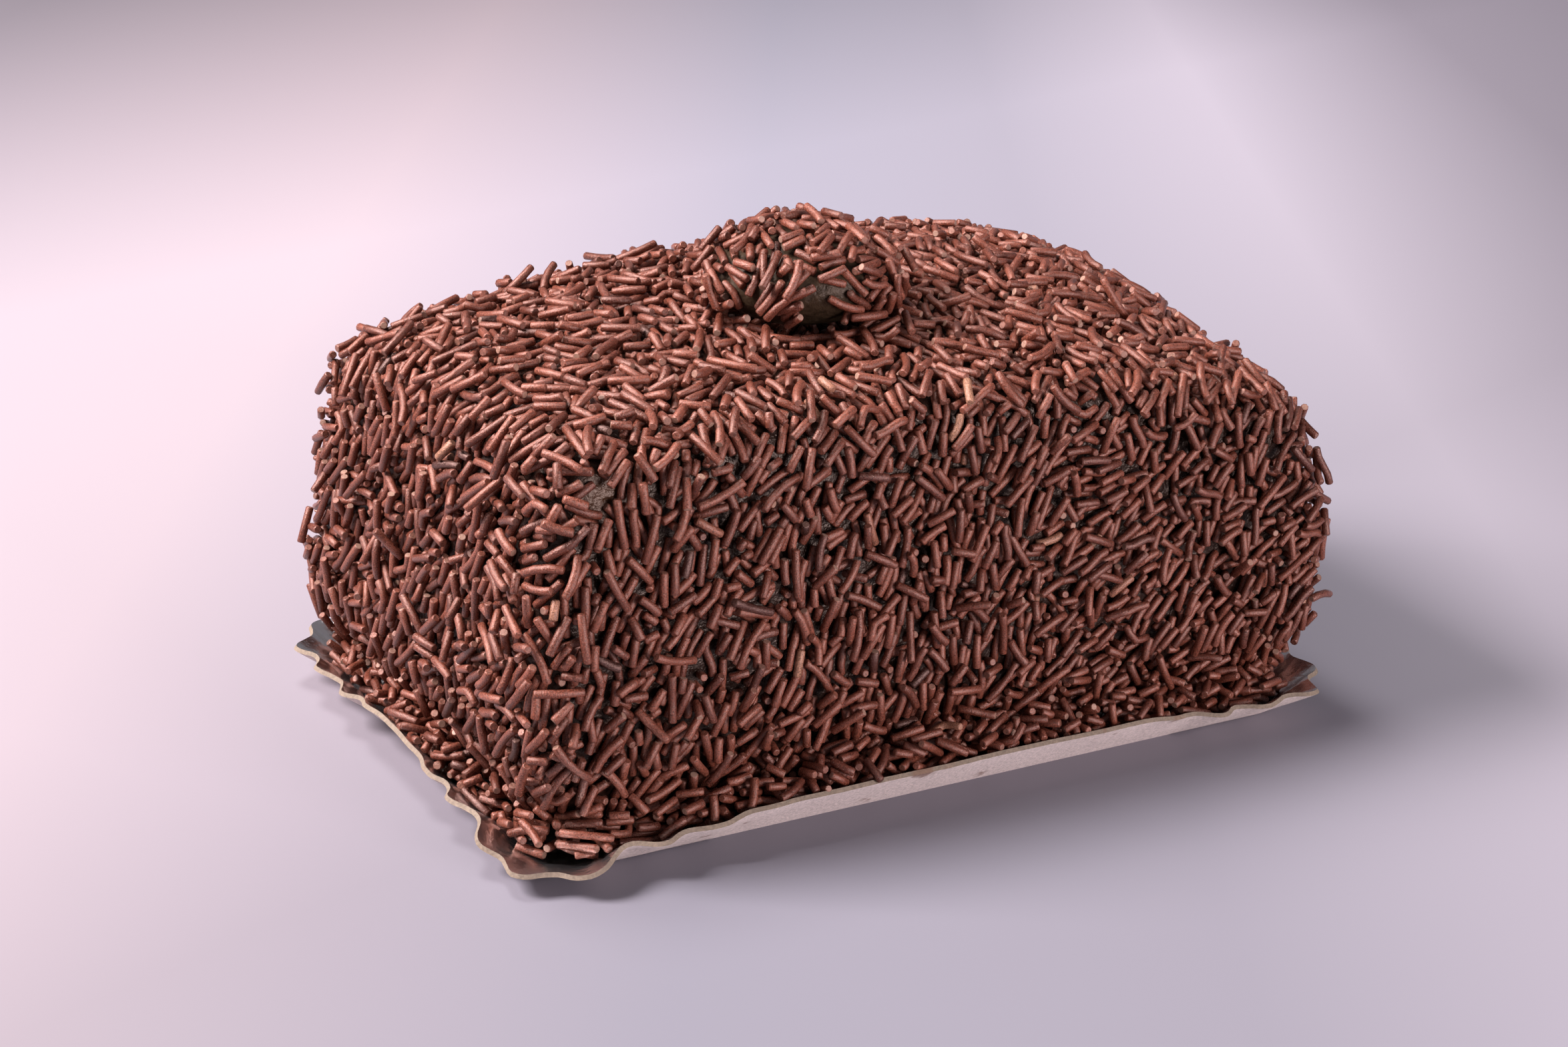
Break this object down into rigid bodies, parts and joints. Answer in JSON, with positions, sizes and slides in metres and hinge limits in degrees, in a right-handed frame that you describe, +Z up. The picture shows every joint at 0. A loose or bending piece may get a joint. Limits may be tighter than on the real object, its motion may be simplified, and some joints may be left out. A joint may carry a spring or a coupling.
{
  "type": "brigadeiro cake",
  "caption": "Small loaf-shaped fudge cake coated in chocolate sprinkles, with one sprinkled fudge ball on top, in a foil-lined card tray with crimped corners.",
  "frame": {"origin": "middle of the tray's flat underside, which rests on the surface", "axes": "+Z up, +X along the long side of the cake, +Y along its short side, away from the long side that the ball stands nearer to"},
  "size_m": [0.1298, 0.0824, 0.0701],
  "materials": {
    "sprinkle_coat": "satin chocolate sprinkles over dark fudge frosting",
    "ball_coat": "satin chocolate sprinkles over dark fudge",
    "loose_sprinkles": "satin chocolate sprinkles, loose",
    "foil_card": "grey-beige card outside, silver foil inside"
  },
  "bodies": {
    "root": {"cake": "sprinkle_coat", "brigadeiro_ball": "ball_coat", "sprinkle_bed": "loose_sprinkles", "card_tray": "foil_card"}
  },
  "joints": []
}
